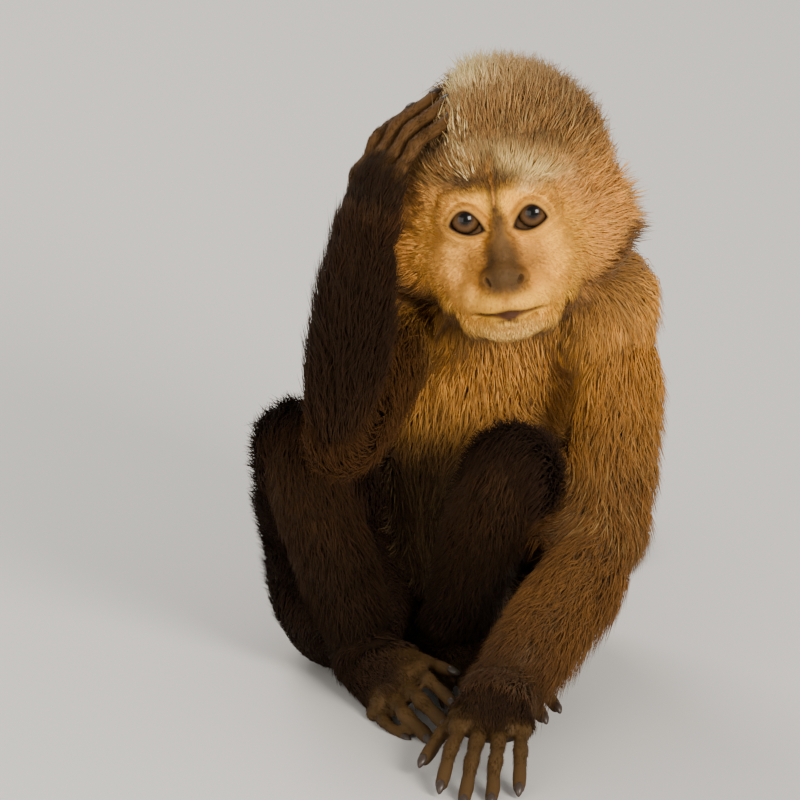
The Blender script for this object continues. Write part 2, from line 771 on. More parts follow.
@dataclass
class ExtremitySkin:
    """The skin of a hand or foot: a palm and five jointed digits, melted together."""

    shape: Extremity
    coat_on_back: float = 0.6  # how much thinner than its solid the palm is, on each side
    voxel: float = 1.1
    knuckles: tuple = (  # the share of the digit's length, and how thick it is there
        (0.0, 0.96),
        (0.12, 1.0),
        (0.3, 0.82),
        (0.44, 1.0),
        (0.6, 0.80),
        (0.74, 0.92),
        (0.9, 0.80),
    )

    def build(self) -> bpy.types.Object:
        """Makes the skin of the whole hand or foot."""
        bm = bmesh.new()
        self.add_palm(bm)
        for digit in self.shape.digits:
            self.add_digit(bm, digit)
        piece = object_from(f"{self.shape.name}_skin", bm)
        melt(piece, self.voxel * MM, 2)
        return piece

    def half_widths(self, point: Vector) -> tuple[float, float, Vector]:
        """The palm's radii across and deep at a point, and its middle there."""
        shape = self.shape
        ring = node_cut(f"{shape.name}_palm", point, shape.ahead)
        sizes, middle = [], point.copy()
        for way in (shape.side, shape.up):
            reach = [way.dot(place) for place in ring]
            middle += way * ((max(reach) + min(reach)) / 2 - way.dot(point))
            sizes.append((max(reach) - min(reach)) / 2)
        return sizes[0], sizes[1], middle

    def add_palm(self, bm: bmesh.types.BMesh) -> None:
        """Adds the palm or sole, from inside the limb to the roots of the digits."""
        shape = self.shape
        is_hand = shape.name.startswith("hand")
        rings = []
        length = (shape.front - shape.heel).length / MM
        for share in (0.14, 0.35, 0.6, 1.0 - 6.5 / length, 1.0 - 2.5 / length):
            across, deep, middle = self.half_widths(shape.heel.lerp(shape.front, share))
            rings.append(Ring(middle, across - self.coat_on_back * MM, deep - self.coat_on_back * MM * 1.5))
        if is_hand:
            start = rings[0]
            for back, size in ((6, 0.86), (14, 0.8)):
                middle = start.middle - shape.ahead * back * MM
                rings.insert(0, Ring(middle, start.across * size * 0.86, start.deep * size))
        add_loft(bm, rings, shape.up, sides=24)
        for share, out, size in ((0.35, 0.5, 5.2), (0.45, -0.5, 5.0)):
            across, deep, middle = self.half_widths(shape.heel.lerp(shape.front, share))
            pad = middle + shape.side * across * out - shape.up * deep * 0.45
            turn = Matrix((shape.side, shape.ahead, shape.up)).transposed().to_4x4()
            add_ball(bm, Matrix.Translation(pad) @ turn, (size, size * 1.6, size * 0.7), detail=3)

    def digit_rings(self, digit: Digit) -> list[Ring]:
        """The cross-sections of a finger or toe, thicker at its joints."""
        line = curve_points(digit.line, 3)
        last = len(line) - 1
        stops, sizes = zip(*self.knuckles)
        rings = []
        for i, middle in enumerate(line[: last - 1]):
            size = float(np.interp(i / last, stops, sizes)) * digit.radius
            rings.append(Ring(middle, size, size * 0.95))
        return rings

    def add_digit(self, bm: bmesh.types.BMesh, digit: Digit) -> None:
        """Adds one finger or toe, rounded at its tip."""
        add_loft(bm, self.digit_rings(digit), digit.up, sides=16)


@dataclass(frozen=True)
class CoatKind:
    """One region's coat, in millimetres."""

    depth: float  # of the skin under the tips
    length: float
    height: float  # of the tips over the skin
    width: float
    closeness: float

    def row(self) -> tuple[float, float, float, float]:
        """The numbers that blend from region to region."""
        return self.length, self.height, self.width, self.closeness


COATS = {
    Region.HEAD: CoatKind(10.0, 18.0, 9.0, 0.36, 1.9),
    Region.EAR: CoatKind(1.0, 10.0, 4.0, 0.34, 1.6),
    Region.NECK: CoatKind(10.0, 17.0, 8.0, 0.50, 1.0),
    Region.TRUNK: CoatKind(8.5, 19.0, 7.6, 0.54, 0.85),
    Region.UPPER_ARM: CoatKind(6.5, 18.0, 6.4, 0.50, 1.05),
    Region.FOREARM: CoatKind(5.5, 16.0, 5.2, 0.48, 1.15),
    Region.THIGH: CoatKind(7.5, 19.0, 6.8, 0.52, 0.9),
    Region.SHIN: CoatKind(5.0, 15.0, 4.6, 0.48, 1.1),
    Region.TAIL: CoatKind(5.0, 15.0, 4.8, 0.48, 1.0),
    Region.HAND: CoatKind(2.6, 6.5, 1.3, 0.40, 1.1),
    Region.FOOT: CoatKind(2.6, 6.5, 1.3, 0.40, 1.1),
}


class NodeMap:
    """Tells which flesh node of the frame is nearest to a place."""

    def __init__(self) -> None:
        """Joins the flesh nodes in one search tree."""
        verts, faces, self.owner = [], [], []
        for name in FLESH:
            mesh = frame["nodes"][name].data
            base = len(verts)
            verts += [vert.co.copy() for vert in mesh.vertices]
            faces += [[base + i for i in polygon.vertices] for polygon in mesh.polygons]
            self.owner += [name] * len(mesh.polygons)
        self.tree = BVHTree.FromPolygons(verts, faces)

    def nearest(self, points: np.ndarray) -> list[str]:
        """The node nearest to each point."""
        return [self.owner[self.tree.find_nearest(Vector(point))[2]] for point in points]


@dataclass
class BodySkin:
    """Trunk, neck, limbs and tail, drawn in from the solids by the coat's depth."""

    anatomy: Anatomy
    nodes: NodeMap
    voxel: float = 2.2
    final_voxel: float = 2.7
    grow: float = 0.3  # how much the solids swell, so that they melt together
    neck_balls: tuple = ((0, 34, -10, 34), (0, 44, -22, 34))  # middle on the head, and radius
    least_depth: float = 2.4  # of the coat where a hand or foot begins
    steps: int = 5  # in which the skin moves inward

    def build(self) -> bpy.types.Object:
        """Makes the body's skin, without head, hands and feet."""
        bm = bmesh.new()
        left_out = ("head", "ear", "hand", "foot")
        for name in FLESH:
            if not name.startswith(left_out):
                bm.from_mesh(frame["nodes"][name].data)
        head = self.anatomy.head
        for x, y, z, size in self.neck_balls:
            add_ball(bm, head.matrix(x, y, z), (size, size, size), detail=3)
        body = object_from("body_skin", bm)
        swell = body.modifiers.new("swell", "DISPLACE")
        swell.strength = self.grow * MM
        swell.mid_level = 0.0
        melt(body, self.voxel * MM, 6)
        self.draw_in(body)
        melt(body, self.final_voxel * MM, 8)
        return body

    def draw_in(self, body: bpy.types.Object) -> None:
        """Moves the skin inward, little by little, by the depth of the coat over it."""
        points = points_of(body.data)
        owners = self.nodes.nearest(points)
        depth = np.array([COATS[region_of(name)].depth for name in owners])
        for name in EXTREMITIES:
            heel = np.array(self.anatomy.extremities[name].heel)
            near = np.linalg.norm(points - heel, axis=1) / MM
            allowed = self.least_depth + 3.2 * ease(near, 8.0, 50.0) + 30.0 * ease(near, 48.0, 60.0)
            depth = np.minimum(depth, allowed)
        facing = normals_of(body.data)[:, 2]
        resting = ease(-facing, 0.3, 0.85) * ease(points[:, 2] / MM, 16.0, 5.0)
        depth *= 1.0 - 0.8 * resting
        web = Neighbours(body.data)
        depth = web.smooth(depth, 12) + self.grow
        for _ in range(self.steps):
            points = points_of(body.data) - normals_of(body.data) * (depth / self.steps * MM)[:, None]
            set_points(body.data, web.smooth(points, 2, 0.35))


class Skin:
    """The one skin that replaces every flesh node."""

    def __init__(self, anatomy: Anatomy) -> None:
        """Builds the skin.

        Args:
            anatomy: The places measured on the frame.
        """
        self.anatomy = anatomy
        self.nodes = NodeMap()
        self.opening = EyeOpening()
        self.head = HeadSkin(anatomy.head, self.opening)
        body = BodySkin(anatomy, self.nodes).build()
        log.info("body skin: %d points", len(body.data.vertices))
        parts = [self.head.build()]
        log.info("head skin: %d points", len(parts[0].data.vertices))
        parts += [ExtremitySkin(anatomy.extremities[name]).build() for name in EXTREMITIES]
        boolean(body, parts, "UNION")
        body.name = "skin"
        body.data.shade_smooth()
        self.piece = body
        self.drop_crumbs()
        points = self.ease_nape(points_of(body.data))
        points[:, 2] = np.maximum(points[:, 2], FLOOR_GAP)
        set_points(body.data, points)
        log.info("skin: %d triangles", sum(len(face.vertices) - 2 for face in body.data.polygons))

    def ease_nape(self, points: np.ndarray) -> np.ndarray:
        """The skin's points, with the step where the back of the head meets the neck rounded off."""
        x, y, z = self.anatomy.head.local(points).T
        share = within(ease(y, 50, 59), (z, 26, 14), (z, -24, -12), (np.abs(x), 36, 26))
        rounded = Neighbours(self.piece.data).smooth(points, 70)
        return points + (rounded - points) * share[:, None]

    def unwrap(self) -> None:
        """Unwraps the skin for the bake, by its own shape."""
        bpy.context.view_layer.objects.active = self.piece
        for other in bpy.context.view_layer.objects:
            other.select_set(other is self.piece)
        self.piece.data.uv_layers.new(name="OFBake")
        bpy.ops.object.mode_set(mode="EDIT")
        bpy.ops.mesh.select_all(action="SELECT")
        bpy.ops.uv.smart_project(angle_limit=math.radians(66.0), island_margin=0.002)
        bpy.ops.object.mode_set(mode="OBJECT")

    def carry(self, colours: np.ndarray) -> None:
        """Stores the markings on the skin's points."""
        store_tint(self.piece.data, colours)

    def drop_crumbs(self) -> None:
        """Keeps the one large skin and drops loose bits."""
        bm = bmesh.new()
        bm.from_mesh(self.piece.data)
        unseen, islands = set(bm.verts), []
        while unseen:
            island, queue = [], [unseen.pop()]
            while queue:
                vert = queue.pop()
                island.append(vert)
                for edge in vert.link_edges:
                    other = edge.other_vert(vert)
                    if other in unseen:
                        unseen.remove(other)
                        queue.append(other)
            islands.append(island)
        islands.sort(key=len)
        log.info("skin islands: %s", [len(island) for island in islands])
        bmesh.ops.delete(bm, geom=[vert for island in islands[:-1] for vert in island], context="VERTS")
        bm.to_mesh(self.piece.data)
        bm.free()


# ---------------------------------------------------------------- markings, shared by skin and coat
@dataclass(frozen=True)
class Palette:
    """The animal's colours, as linear light."""

    face_pale: tuple = (0.97, 0.475, 0.036)
    face_warm: tuple = (0.70, 0.29, 0.040)
    face_shade: tuple = (0.90, 0.43, 0.09)
    eyelid: tuple = (0.62, 0.28, 0.04)
    lid_rim: tuple = (0.03, 0.013, 0.006)
    nose: tuple = (0.078, 0.039, 0.011)
    nose_side: tuple = (0.36, 0.145, 0.018)
    nostril: tuple = (0.012, 0.006, 0.004)
    ruff: tuple = (0.15, 0.058, 0.009)
    crown_top: tuple = (0.56, 0.34, 0.12)
    raised_upper: tuple = (0.062, 0.025, 0.005)
    raised_elbow: tuple = (0.055, 0.022, 0.005)
    crown_dark: tuple = (0.125, 0.052, 0.013)
    elbow: tuple = (0.145, 0.056, 0.0095)
    lip: tuple = (0.060, 0.020, 0.007)
    brow_pale: tuple = (0.97, 0.69, 0.25)
    brow_dark: tuple = (0.062, 0.025, 0.007)
    crown: tuple = (0.30, 0.142, 0.036)
    crown_white: tuple = (0.97, 0.72, 0.34)
    head_side: tuple = (0.84, 0.375, 0.068)
    nape: tuple = (0.17, 0.078, 0.022)
    throat: tuple = (0.46, 0.18, 0.025)
    chest: tuple = (0.74, 0.335, 0.050)
    belly: tuple = (0.034, 0.012, 0.004)
    back: tuple = (0.15, 0.064, 0.018)
    shoulder: tuple = (0.42, 0.168, 0.020)
    upper_arm: tuple = (0.275, 0.114, 0.016)
    forearm: tuple = (0.135, 0.056, 0.0105)
    raised: tuple = (0.020, 0.0085, 0.0032)
    wrist: tuple = (0.030, 0.012, 0.004)
    thigh: tuple = (0.014, 0.006, 0.0026)
    knee: tuple = (0.040, 0.0165, 0.005)
    shin: tuple = (0.019, 0.008, 0.0032)
    tail: tuple = (0.026, 0.011, 0.004)
    hand: tuple = (0.022, 0.010, 0.0042)
    finger: tuple = (0.066, 0.034, 0.0085)
    raised_finger: tuple = (0.100, 0.044, 0.0095)
    ear: tuple = (0.22, 0.095, 0.034)


class Markings:
    """Works out hair and skin colours, and the lay of the coat, for every point of the skin."""

    def __init__(self, skin: Skin) -> None:
        """Reads the skin and works out every value of the coat.

        Args:
            skin: The finished skin.
        """
        self.skin = skin
        self.anatomy = skin.anatomy
        self.palette = Palette()
        mesh = skin.piece.data
        self.web = Neighbours(mesh)
        self.points = points_of(mesh)
        self.normals = normals_of(mesh)
        self.owners = skin.nodes.nearest(self.points)
        self.claim_digits()
        self.local = self.anatomy.head.local(self.points)
        self.claim_skull()
        self.regions = np.array([region_of(name).value for name in self.owners])
        self.region_masks()
        self.fringe = self.find_fringe()
        self.colour = self.paint()
        self.flow = self.lay_flow()
        self.lay_coat()

    def claim_digits(self) -> None:
        """Gives the points round a digit's middle line to that digit, wherever the solids end."""
        for name, part in self.anatomy.extremities.items():
            for digit in part.digits:
                line = [np.array(point) for point in digit.line]
                near = np.min([from_segment(self.points, a, b)[0] for a, b in zip(line, line[1:])], axis=0)
                for i in np.flatnonzero(near < digit.radius + 0.9 * MM):
                    self.owners[i] = f"{name}_{digit.name}"

    def claim_skull(self) -> None:
        """Gives the head the skin under the raised hand."""
        _, centre, radii = self.skin.head.balls[0]
        reach = np.linalg.norm((self.local - np.array(centre)) / np.array(radii), axis=1)
        for i in np.flatnonzero(reach < 1.06):
            if self.owners[i].startswith("hand"):
                self.owners[i] = "head"

    def is_region(self, *regions: Region) -> np.ndarray:
        """1.0 where a point is in one of the regions, else 0.0."""
        return np.isin(self.regions, [region.value for region in regions]).astype(float)

    def owned_by(self, name: str) -> np.ndarray:
        """Whether each point belongs to a node whose name starts so."""
        return np.array([owner.startswith(name) for owner in self.owners])

    def region_masks(self) -> None:
        """Soft masks for the parts of the head and for the bare digits."""
        x, y, z = self.local.T
        out = np.abs(x)
        near_head = ease(np.linalg.norm(self.local - np.array([0.0, 22.0, -2.0]), axis=1), 64.0, 50.0)
        self.head = near_head * (1.0 - self.is_region(Region.HAND, Region.UPPER_ARM, Region.FOREARM))
        self.reach = np.linalg.norm(
            np.stack([x / 29.0, (z + 12.5) / 30.0, np.maximum(y, 0.0) / 24.0], axis=1), axis=1
        )
        reach = np.hypot(x / 29.0, (z + 12.5) / 30.0)
        self.face = self.head * ease(reach, 1.12, 0.86) * ease(y, 16.0, 8.0)
        self.lid = self.skin.opening.distance(out - self.skin.head.eye_apart, z - self.anatomy.head.eye_raise)
        self.lid = np.where((y < 6) & (self.head > 0.5), self.lid, 99.0)
        self.mouth = np.where(
            (self.face > 0.3) & (out < 17) & (y < -3), np.abs(self.skin.head.from_mouth(x, z)), 99.0
        )
        self.nose = self.face * spot(x, z, (0.0, -20.2), (9.0, 5.6)) * ease(y, -8.0, -12.0)
        self.digit, self.palm_side, self.tip_share = self.measure_digits()

    def measure_digits(self) -> tuple[np.ndarray, np.ndarray, np.ndarray]:
        """How much each point belongs to a digit, faces the palm's side, and nears a digit's tip."""
        digit = np.zeros(len(self.points))
        palm = np.zeros(len(self.points))
        tip = np.zeros(len(self.points))
        for name, part in self.anatomy.extremities.items():
            mine = self.owned_by(name)
            facing = self.normals @ np.array(part.up)
            palm = np.where(mine, ease(facing, -0.15, -0.6), palm)
            for finger in part.digits:
                near, share = from_segment(self.points, np.array(finger.line[0]), np.array(finger.line[-1]))
                close = ease(near / MM, 11.0, 7.0) * mine
                digit = np.maximum(digit, close * ease(share, 0.02, 0.2))
                tip = np.maximum(tip, close * ease(share, 0.3, 1.0))
        return digit, palm, tip

    def along(self, bone: str) -> np.ndarray:
        """How far along a bone each point lies, from 0 to 1."""
        start, *_, end = self.anatomy.bones[bone]
        return from_segment(self.points, np.array(start), np.array(end))[1]

    def find_fringe(self) -> np.ndarray:
        """Where the coat hangs in a fringe: the outer and lower side of both forearms."""
        fringe = np.zeros(len(self.points))
        for side, outward in (("l", (0.75, 0.2, -0.65)), ("r", (-0.9, 0.1, -0.4))):
            share = self.along(f"forearm_{side}")
            lower = self.owned_by(f"forearm_{side}") * ease(self.normals @ np.array(outward), 0.1, 0.75)
            fringe += lower * ease(share, 0.0, 0.15) * ease(share, 0.95, 0.75)
        return self.web.smooth(fringe, 4)

    def paint(self) -> np.ndarray:
        """The hair's middle colour at every point."""
        colours = self.palette
        points, (x, y, z) = self.points, self.local.T
        count = len(points)
        base = np.tile(np.array(colours.back), (count, 1))
        table = (
            (Region.TAIL, colours.tail),
            (Region.SHIN, colours.shin),
            (Region.THIGH, colours.thigh),
            (Region.FOOT, colours.hand),
            (Region.UPPER_ARM, colours.upper_arm),
            (Region.FOREARM, colours.forearm),
        )
        for region, colour in table:
            base = blend(base, colour, self.is_region(region))
        front = ease(-self.normals[:, 1], -0.1, 0.5)
        trunk = self.is_region(Region.TRUNK)
        low = ease(points[:, 2] / MM, 118.0, 94.0)
        high = ease(points[:, 2] / MM, 112.0, 140.0)
        base = blend(base, colours.shoulder, trunk * high * ease(self.normals[:, 1], 0.75, 0.1) * 0.8)
        base = blend(base, colours.chest, trunk * front)
        base = blend(base, colours.belly, trunk * front * low)
        neck = self.is_region(Region.NECK)
        base = blend(base, colours.nape, neck * (1 - front))
        base = blend(base, colours.throat, neck * front)
        whole = (-1.0, 0.0)
        limbs = (  # node, colour, and the shares of its bone where the colour starts and is full
            ("upper_arm_l", colours.shoulder, (0.55, 0.1)),
            ("upper_arm_l", colours.elbow, (0.35, 0.95)),
            ("upper_arm_r", colours.raised_upper, whole),
            ("upper_arm_r", colours.raised_elbow, (0.35, 0.95)),
            ("forearm_r", colours.raised, whole),
            ("forearm_l", colours.wrist, (0.35, 1.0)),
            ("forearm_r", colours.wrist, (0.35, 1.0)),
            ("shin_l", colours.knee, (0.75, 0.1)),
            ("shin_r", colours.knee, (0.75, 0.1)),
        )
        for node, colour, fade in limbs:
            base = blend(base, colour, self.owned_by(node) * ease(self.along(node), *fade))
        base = self.web.smooth(base, 26)
        hands = self.is_region(Region.HAND, Region.FOOT)
        base = blend(base, colours.hand, hands)
        fingers = hands * self.web.smooth(self.digit, 16) * (1 - self.palm_side) * 0.9
        base = blend(base, colours.finger, fingers)
        base = blend(base, colours.raised_finger, fingers * ease(points[:, 2] / MM, 150.0, 160.0))
        base = self.web.smooth(base, 5)
        self.paint_head(base, x, y, z)
        return np.clip(base, 0.002, 0.95)

    def paint_head(self, base: np.ndarray, x: np.ndarray, y: np.ndarray, z: np.ndarray) -> None:
        """Paints crown, brow, face, nose, lids and lips over the base."""
        colours = self.palette
        out = np.abs(x)
        head, face = self.head, self.face
        cheek_edge = within(ease(0.756 * out - 0.655 * z, 35.2, 38.6), (z, -6, -14), (y, 46, 34))
        bridge = np.interp(-z, (-6.0, 4.0, 11.0, 17.0, 23.0), (2.4, 4.2, 7.2, 8.6, 6.4))
        upper_lid = ease(z - self.anatomy.head.eye_raise, -1.0, 2.0)
        layers = [
            (colours.crown, within(head, (z, -28, -8))),
            (colours.head_side, within(head, (z, 26, 4), (z, -46, -30), (y, 44, 26))),
            (colours.crown_dark, within(head, (x, -6, -19), (z, 14, 24), (z, 50, 38)) * 0.8),
            (colours.crown_top, within(head, (z, 32, 44), (x, -16, -4), (y, 50, 34)) * 0.8),
            (colours.crown_white, within(head * bell(x + 9, 11), (z, 36, 40.5), (y, 34, 24)) * 1.5),
            (colours.nape, within(head, (y, 34, 52), (z, 20, 0))),
            (colours.brow_pale, within(head * spot(x, z + 0.36 * x, (9, 21), (11, 3.6)), (y, 22, 12)) * 1.2),
            (colours.face_pale, within(face, (z, 15 + 0.06 * x, 12.4 + 0.06 * x))),
            (colours.brow_dark, within(head * spot(x, z, (-9.5, 15.2), (9.5, 2.9)), (y, 14, 6))),
            (colours.brow_dark, head * spot(x, z, (4, 15.6), (5, 2.6)) * 0.85),
            (colours.crown_white, face * spot(x, z, (14, 13.4), (5, 1.8))),
            (colours.face_warm, within(face, (z, 2, -12), (z, -30, -22), (out, 24, 10)) * 0.7),
            (colours.face_pale, within(face, (z, -24, -29))),
            (colours.face_shade, within(face, (x, -4, -20), (z, 16, 10)) * 0.6),
            (colours.nose_side, face * spot(out, z, (11, -14.5), (5.5, 6.5)) * 0.9),
            (colours.nose_side, within(face, (out, bridge * 1.5, bridge * 0.9), (z, 8, 0), (z, -27, -23))),
            (colours.nose, within(face, (out, bridge * 1.2, bridge * 0.45), (z, 9, 2), (z, -27, -23)) * 0.9),
            (colours.nose, self.nose * 1.2),
            (colours.brow_pale, within(face, (z, -35, -40)) * 0.6),
            (colours.nose_side, face * spot(x, z, (0, -27), (2.6, 2.6)) * 0.8),
            (colours.nostril, self.nose * spot(out, z, (7.2, -20.6), (1.9, 2.5)) * 0.8),
            (colours.brow_dark, within(head * bell(x + 0.9, 2.3), (z, 2, 6), (z, 25, 21), (y, 12, 6))),
            (colours.face_warm, within(head * bell(x + 0.9, 0.45), (z, 6, 9), (z, 22, 19), (y, 12, 6))),
            (colours.eyelid, face * bell(self.lid, 3.0) * 0.8),
            (colours.nose_side, face * bell(self.lid - 2.7, 0.7) * upper_lid * 0.7),
            (colours.lid_rim, bell(self.lid, 0.95)),
            (colours.lip, within(bell(self.mouth, 1.1), (out, 18, 10))),
            (colours.lip, within(spot(x, z, (0.6, -33.4), (6, 2.9)) * 1.3 * face, (y, 0, -6))),
            (colours.ruff, head * cheek_edge),
        ]
        for colour, amount in layers:
            base[:] = blend(base, colour, amount)
        base[:] = blend(base, colours.ear, self.is_region(Region.EAR) * 0.8)

    def lay_flow(self) -> np.ndarray:
        """The way that the hair lies at every point, in the skin's own plane."""
        anatomy, head_turn = self.anatomy, self.anatomy.head
        flow = np.tile(np.array([0.0, 0.1, -1.0]), (len(self.points), 1))
        behind = self.is_region(Region.NECK, Region.TRUNK) * ease(self.local[:, 1], 36.0, 50.0)
        flow[:, 1] += 1.5 * behind * np.maximum(self.normals[:, 2], 0.0)
        for name, (start, *_, end) in anatomy.bones.items():
            flow[self.owned_by(name)] = unit(np.array(end) - np.array(start))
        for name, part in anatomy.extremities.items():
            flow[self.owned_by(name)] = np.array(part.ahead)
            for finger in part.digits:
                its = self.owned_by(f"{name}_{finger.name}")
                flow[its] = unit(np.array(finger.line[-1]) - np.array(finger.line[0]))
        tail = self.owned_by("tail")
        line = np.array([list(point) for point in anatomy.bones["tail"]])
        steps = unit(np.diff(line, axis=0))
        gaps = np.linalg.norm(self.points[tail][:, None] - (line[1:] + line[:-1])[None] / 2, axis=2)
        flow[tail] = steps[np.argmin(gaps, axis=1)]
        centre = np.array([0.0, -14.0, -6.0])
        _, y, z = self.local.T
        radial = blend(unit(self.local - centre), (0.0, 0.5, -1.0), ease(y, 22.0, 55.0))
        radial = blend(radial, (0.0, 0.35, -1.0), ease(z, -24.0, -36.0) * ease(y, 24.0, 4.0))
        flow = flow * (1 - self.head[:, None]) + head_turn.direction(unit(radial)) * self.head[:, None]
        for _ in range(4):
            flow = self.web.smooth(self.flattened(flow), 6)
        return self.flattened(flow)

    def flattened(self, flow: np.ndarray) -> np.ndarray:
        """The directions laid into the skin's plane, at length one."""
        return unit(flow - self.normals * np.sum(flow * self.normals, axis=1, keepdims=True))

    def lay_coat(self) -> None:
        """Sets the coat's length, height, strand width and closeness at every point, in millimetres."""
        rows = np.array([COATS[region_of(name)].row() for name in self.owners])
        rows = self.web.smooth(rows, 14)
        x, y, z = self.local.T
        head = self.head
        rows = blend(rows, COATS[Region.HEAD].row(), head)
        depth = self.depth_under_solids()
        rows[:, 1] = np.clip(depth * (1.2 + 0.06 * head), 0.3, rows[:, 1] * 2.3 + 8.0 * head)
        rows[:, 0] = np.maximum(rows[:, 0], rows[:, 1] * 1.7)
        grown = ease(self.reach, 0.62, 1.85)
        growing = np.array([1.7, 0.42, 0.22, 3.8]) + np.array([17.0, 13.0, 0.22, -2.3]) * grown[:, None]
        growing[:, 1] = np.minimum(growing[:, 1], np.maximum(depth, 0.6) * 1.2)
        rows = blend(rows, growing, head * ease(self.reach, 1.95, 1.6))
        out = np.abs(x)
        rows[:, 0] += 7.0 * within(head, (out, 22, 34), (y, 2, 16), (z, 26, 4))
        rows = blend(rows, (4.0, 1.0, 0.30, 0.7), self.web.smooth(self.is_region(Region.EAR), 2))
        before_ear = within(head, (out, 20, 26), (np.abs(z + 7.0), 15, 9), (y, 48, 45))
        at_ear = before_ear * ease(y, 28.0, 33.0)
        stop = np.minimum(rows[:, 0], np.maximum(31.0 - y, 3.5))
        rows[:, 0] += (stop - rows[:, 0]) * before_ear
        rows[:, 1] *= 1.0 - 0.8 * at_ear
        joint = (self.points - np.array(self.anatomy.bones["upper_arm_l"][0])) / MM
        outer = ease(np.linalg.norm(joint, axis=1), 55.0, 38.0) * ease(joint[:, 2], -7.0, 13.0)
        outer *= ease(self.normals[:, 0], 0.1, 0.7) * (1 - head)
        rows[:, 0] += 7.0 * outer
        rows[:, 1] += 6.0 * outer
        joints = [self.anatomy.bones[bone][-1] for bone in ("forearm_l", "forearm_r", "shin_l", "shin_r")]
        gaps = [np.linalg.norm(self.points - np.array(joint), axis=1) for joint in joints]
        near = np.min(gaps, axis=0) / MM
        cuff = self.is_region(Region.HAND, Region.FOOT) * ease(near, 36.0, 14.0)
        rows[:, 0] += 6.5 * cuff
        rows[:, 1] += 1.6 * cuff
        rows[:, 1] = np.maximum(rows[:, 1], 2.2 * ease(near, 30.0, 16.0))
        rows[:, 0] += 7.0 * self.fringe
        rows[:, 1] += 1.5 * self.fringe
        chin = self.face * ease(z, -36.0, -41.0)
        rows = blend(rows, (5.5, 1.8, 0.30, 3.0), chin)
        rows = blend(rows, (3.0, 0.6, 0.32, 1.2), self.digit)
        bare = np.max(
            [
                self.palm_side * self.is_region(Region.HAND, Region.FOOT),
                ease(self.tip_share, 0.55, 0.8),
                bell(self.lid, 1.1),
                bell(self.mouth, 1.0),
                self.nose * ease(y, -12.0, -15.0),
            ],
            axis=0,
        )
        self.length, self.height, self.width, self.closeness = rows.T.copy()
        self.closeness *= np.clip(1 - bare * 1.05, 0.0, 1.0)
        self.short = np.maximum(head * ease(self.reach, 1.35, 0.9), self.digit)
        fan = np.degrees(np.arctan2(z - 8.0, x + 3.0))
        reach = np.hypot(x + 3.0, z - 8.0)
        in_fan = head * bell(fan - 118.0, 13.0)
        self.streaks = within(in_fan, (reach, 8, 11), (reach, 38, 26), (y, 44, 34))
        dark_side = ease(x, -4.0, -12.0) * ease(z, 16.0, 22.0)
        left_arm = self.is_region(Region.UPPER_ARM) * ease(self.points[:, 0] / MM, -20.0, 0.0)
        self.frost = head * (1 - self.face) * ease(z, -10.0, 12.0) * (0.7 - 0.45 * dark_side)
        self.frost = np.maximum(self.frost, self.streaks * 1.3)
        self.frost = np.maximum(self.frost, 0.28 * left_arm + 0.2 * self.is_region(Region.TRUNK))

    def depth_under_solids(self) -> np.ndarray:
        """How far each point lies under the solids' surface, in millimetres."""
        tree = self.skin.nodes.tree
        depth = np.zeros(len(self.points))
        for i, (point, normal) in enumerate(zip(self.points.tolist(), self.normals.tolist())):
            hit = tree.ray_cast(point, normal, 0.03)[3]
            near = tree.find_nearest(point)[3]
            depth[i] = near if hit is None else min(hit, near * 1.35)
        return self.web.smooth(depth / MM, 10)


# ---------------------------------------------------------------- coat
class Strand:
    """One lock of hair: a closed, three-sided spike, or for long hair a bent blade with both ends pointed."""

    def __init__(self, bends: bool) -> None:
        """Makes the pattern from a cone.

        Args:
            bends: Whether the cone is cut at its middle, so that it can bend.
        """
        bm = bmesh.new()
        bmesh.ops.create_cone(bm, cap_ends=True, segments=3, radius1=1.0, radius2=0.0, depth=2.0)
        bmesh.ops.remove_doubles(bm, verts=bm.verts, dist=1e-4)
        if bends:
            everything = bm.verts[:] + bm.edges[:] + bm.faces[:]
            bmesh.ops.bisect_plane(bm, geom=everything, plane_co=(0, 0, 0), plane_no=(0, 0, 1))
            root = [vert for vert in bm.verts if vert.co.z < -0.5]
            bmesh.ops.pointmerge(bm, verts=root, merge_co=(0, 0, -1))
        bmesh.ops.triangulate(bm, faces=bm.faces)
        bmesh.ops.recalc_face_normals(bm, faces=bm.faces)
        bm.verts.index_update()
        places = np.array([list(vert.co) for vert in bm.verts])
        self.faces = np.array([[vert.index for vert in face.verts] for face in bm.faces])
        bm.free()
        self.level = np.round(places[:, 2] + 1.0).astype(int)  # 0 root, 1 middle, 2 tip
        around = np.arctan2(places[:, 1], places[:, 0])
        off_axis = np.hypot(places[:, 0], places[:, 1]) > 1e-3
        self.cos, self.sin = np.cos(around) * off_axis, np.sin(around) * off_axis


